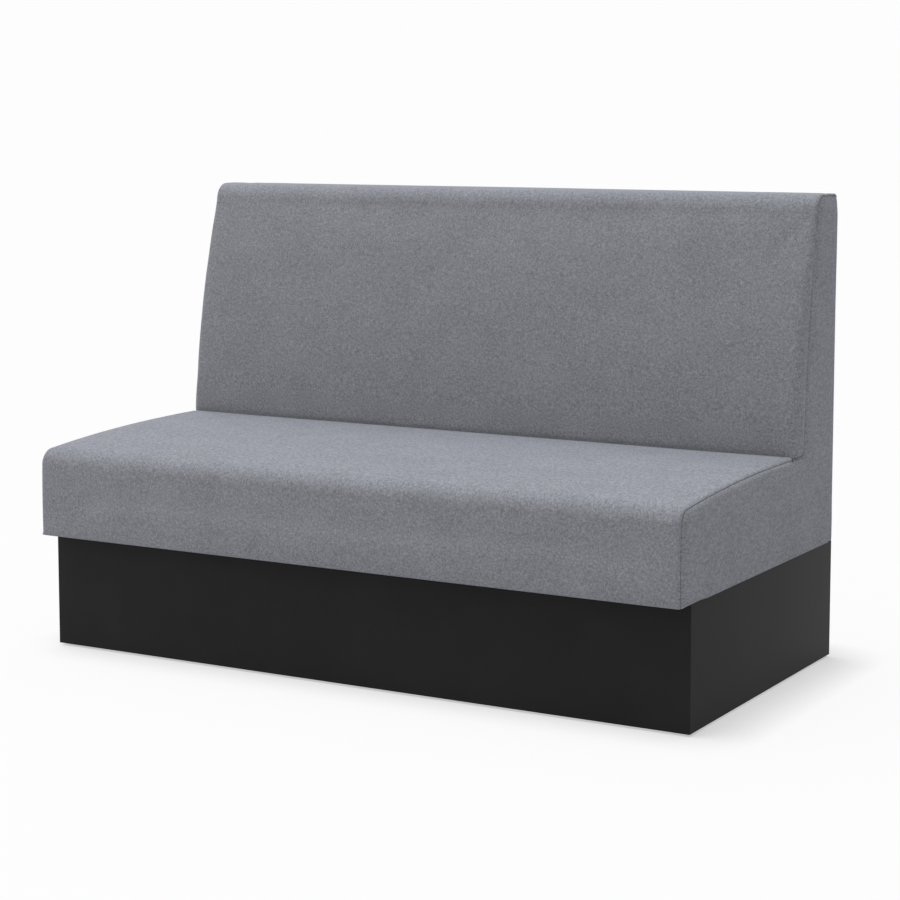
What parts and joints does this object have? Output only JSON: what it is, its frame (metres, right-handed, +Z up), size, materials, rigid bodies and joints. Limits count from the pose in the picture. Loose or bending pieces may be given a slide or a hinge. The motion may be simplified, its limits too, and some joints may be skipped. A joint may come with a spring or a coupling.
{
  "type": "restaurant booth bench",
  "caption": "Straight upholstered restaurant booth bench with a leaning crowned back, a crowned seat with a rounded front edge, and a recessed black plinth on low glides.",
  "frame": {"origin": "on the floor under the middle of the bench (bottom centre of the bounding box)", "axes": "+X along the bench, -Y towards the sitter's side, +Z up"},
  "size_m": [1.5, 0.785, 0.985],
  "materials": {
    "black_laminate": "black laminated board, satin",
    "birch_plywood": "unfinished plywood",
    "beech_wood": "planed hardwood",
    "softwood": "planed softwood",
    "cushion_foam": "open-cell foam",
    "fibre_wadding": "bonded polyester fibre",
    "grey_wool": "woven and milled wool blend, heather grey",
    "black_felt": "thin non-woven felt",
    "zinc_steel": "zinc plated",
    "glide_plastic": "moulded black plastic"
  },
  "bodies": {
    "root": {"back_bottom_rail": "beech_wood", "back_cover": "grey_wool", "back_facing": "birch_plywood", "back_foam": "cushion_foam", "back_top_foam": "cushion_foam", "back_top_rail": "beech_wood", "back_wadding": "fibre_wadding", "base_bolts": "zinc_steel", "base_nuts": "zinc_steel", "base_washers": "zinc_steel", "bracket_screws": "zinc_steel", "cleat_screws": "zinc_steel", "corner_block_front_left": "softwood", "corner_block_front_right": "softwood", "corner_block_rear_left": "softwood", "corner_block_rear_right": "softwood", "corner_block_screws": "zinc_steel", "deck_screws": "zinc_steel", "dust_cover": "black_felt", "facing_screws": "zinc_steel", "frame_left_cleat": "softwood", "frame_left_end": "birch_plywood", "frame_left_rib": "birch_plywood", "frame_right_cleat": "softwood", "frame_right_end": "birch_plywood", "frame_right_rib": "birch_plywood", "glide_nails": "zinc_steel", "glides": "glide_plastic", "left_side_cover": "grey_wool", "left_side_pad": "cushion_foam", "plinth_front_panel": "black_laminate", "plinth_left_cleat": "softwood", "plinth_left_panel": "black_laminate", "plinth_rear_panel": "black_laminate", "plinth_rib_left": "black_laminate", "plinth_rib_right": "black_laminate", "plinth_right_cleat": "softwood", "plinth_right_panel": "black_laminate", "rail_screws": "zinc_steel", "rear_board": "birch_plywood", "rear_board_screws": "zinc_steel", "rear_cover": "grey_wool", "rib_brackets": "zinc_steel", "right_side_cover": "grey_wool", "right_side_pad": "cushion_foam", "seat_cover": "grey_wool", "seat_deck": "birch_plywood", "seat_foam": "cushion_foam", "seat_front_foam": "cushion_foam", "seat_front_rail": "beech_wood", "seat_middle_rail": "beech_wood", "seat_rear_rail": "beech_wood", "seat_wadding": "fibre_wadding"}
  },
  "joints": []
}
